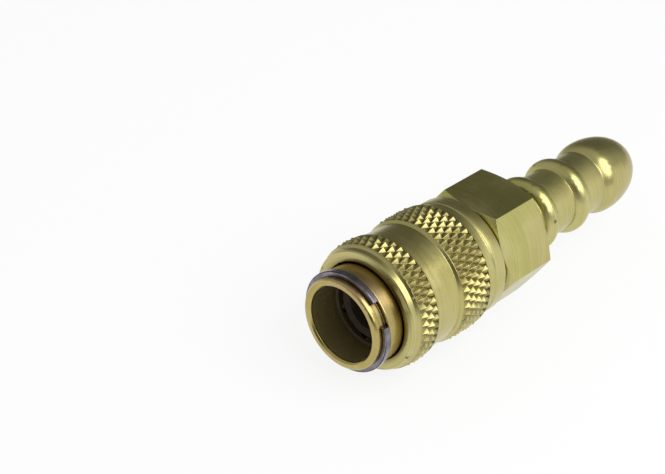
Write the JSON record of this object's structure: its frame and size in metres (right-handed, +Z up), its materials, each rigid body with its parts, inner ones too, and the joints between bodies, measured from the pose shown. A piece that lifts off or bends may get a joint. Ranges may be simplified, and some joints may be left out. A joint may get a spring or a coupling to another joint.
{
  "type": "hose quick coupling",
  "caption": "Brass quick-release coupling socket: knurled sliding sleeve, ball lock and spring valve in a bored tube, snap ring, hexagon and bulb-ended hose nozzle.",
  "frame": {"origin": "under the middle of the length, on the surface that the coupling lies on", "axes": "+X along the axis from the mouth to the hose end, +Z up, square to a flat of the hexagon"},
  "size_m": [0.064, 0.0198, 0.0197],
  "materials": {
    "brass": "turned, satin",
    "ring_steel": "drawn, dull grey",
    "spring_steel": "drawn wire",
    "ball_steel": "polished",
    "rubber": "black, matte"
  },
  "bodies": {
    "housing": {"body_tube": "brass", "snap_ring": "ring_steel", "joint_ring": "rubber", "hose_nozzle": "brass", "valve_spring": "spring_steel"},
    "valve": {"valve_piston": "brass", "plug_seal": "rubber", "valve_ring": "rubber"},
    "sleeve_carrier": {"sleeve_spring": "spring_steel"},
    "sleeve": {"locking_sleeve": "brass"},
    "lock_ball_1": {"ball_1": "ball_steel"},
    "lock_ball_2": {"ball_2": "ball_steel"},
    "lock_ball_3": {"ball_3": "ball_steel"},
    "lock_ball_4": {"ball_4": "ball_steel"},
    "lock_ball_5": {"ball_5": "ball_steel"},
    "lock_ball_6": {"ball_6": "ball_steel"}
  },
  "joints": [
    {"name": "valve_slide", "type": "slide", "parent": "housing", "child": "valve", "axis": [1, 0, 0], "range_m": [0, 0.005], "stiffness_N_per_m": 1200, "springref_m": -0.004, "deforming": ["valve_spring"]},
    {"name": "sleeve_slide", "type": "slide", "parent": "housing", "child": "sleeve_carrier", "axis": [-1, 0, 0], "range_m": [0, 0.0023], "deforming": ["sleeve_spring"]},
    {"name": "sleeve_spin", "type": "hinge", "parent": "sleeve_carrier", "child": "sleeve", "pos_m": [-0.01702, 0, 0.00985], "axis": [1, 0, 0], "continuous": true},
    {"name": "ball_1_slide", "type": "slide", "parent": "housing", "child": "lock_ball_1", "axis": [0, 0, 1], "range_m": [0, 0.00082]},
    {"name": "ball_2_slide", "type": "slide", "parent": "housing", "child": "lock_ball_2", "axis": [0, -0.866, 0.5], "range_m": [0, 0.00082]},
    {"name": "ball_3_slide", "type": "slide", "parent": "housing", "child": "lock_ball_3", "axis": [0, -0.866, -0.5], "range_m": [0, 0.00082]},
    {"name": "ball_4_slide", "type": "slide", "parent": "housing", "child": "lock_ball_4", "axis": [0, 0, -1], "range_m": [0, 0.00082]},
    {"name": "ball_5_slide", "type": "slide", "parent": "housing", "child": "lock_ball_5", "axis": [0, 0.866, -0.5], "range_m": [0, 0.00082]},
    {"name": "ball_6_slide", "type": "slide", "parent": "housing", "child": "lock_ball_6", "axis": [0, 0.866, 0.5], "range_m": [0, 0.00082]}
  ],
  "couplings": [
    {"joint": "sleeve_slide", "follows": "valve_slide", "ratio": 0.46},
    {"joint": "ball_1_slide", "follows": "valve_slide", "ratio": 0.164},
    {"joint": "ball_2_slide", "follows": "valve_slide", "ratio": 0.164},
    {"joint": "ball_3_slide", "follows": "valve_slide", "ratio": 0.164},
    {"joint": "ball_4_slide", "follows": "valve_slide", "ratio": 0.164},
    {"joint": "ball_5_slide", "follows": "valve_slide", "ratio": 0.164},
    {"joint": "ball_6_slide", "follows": "valve_slide", "ratio": 0.164}
  ]
}
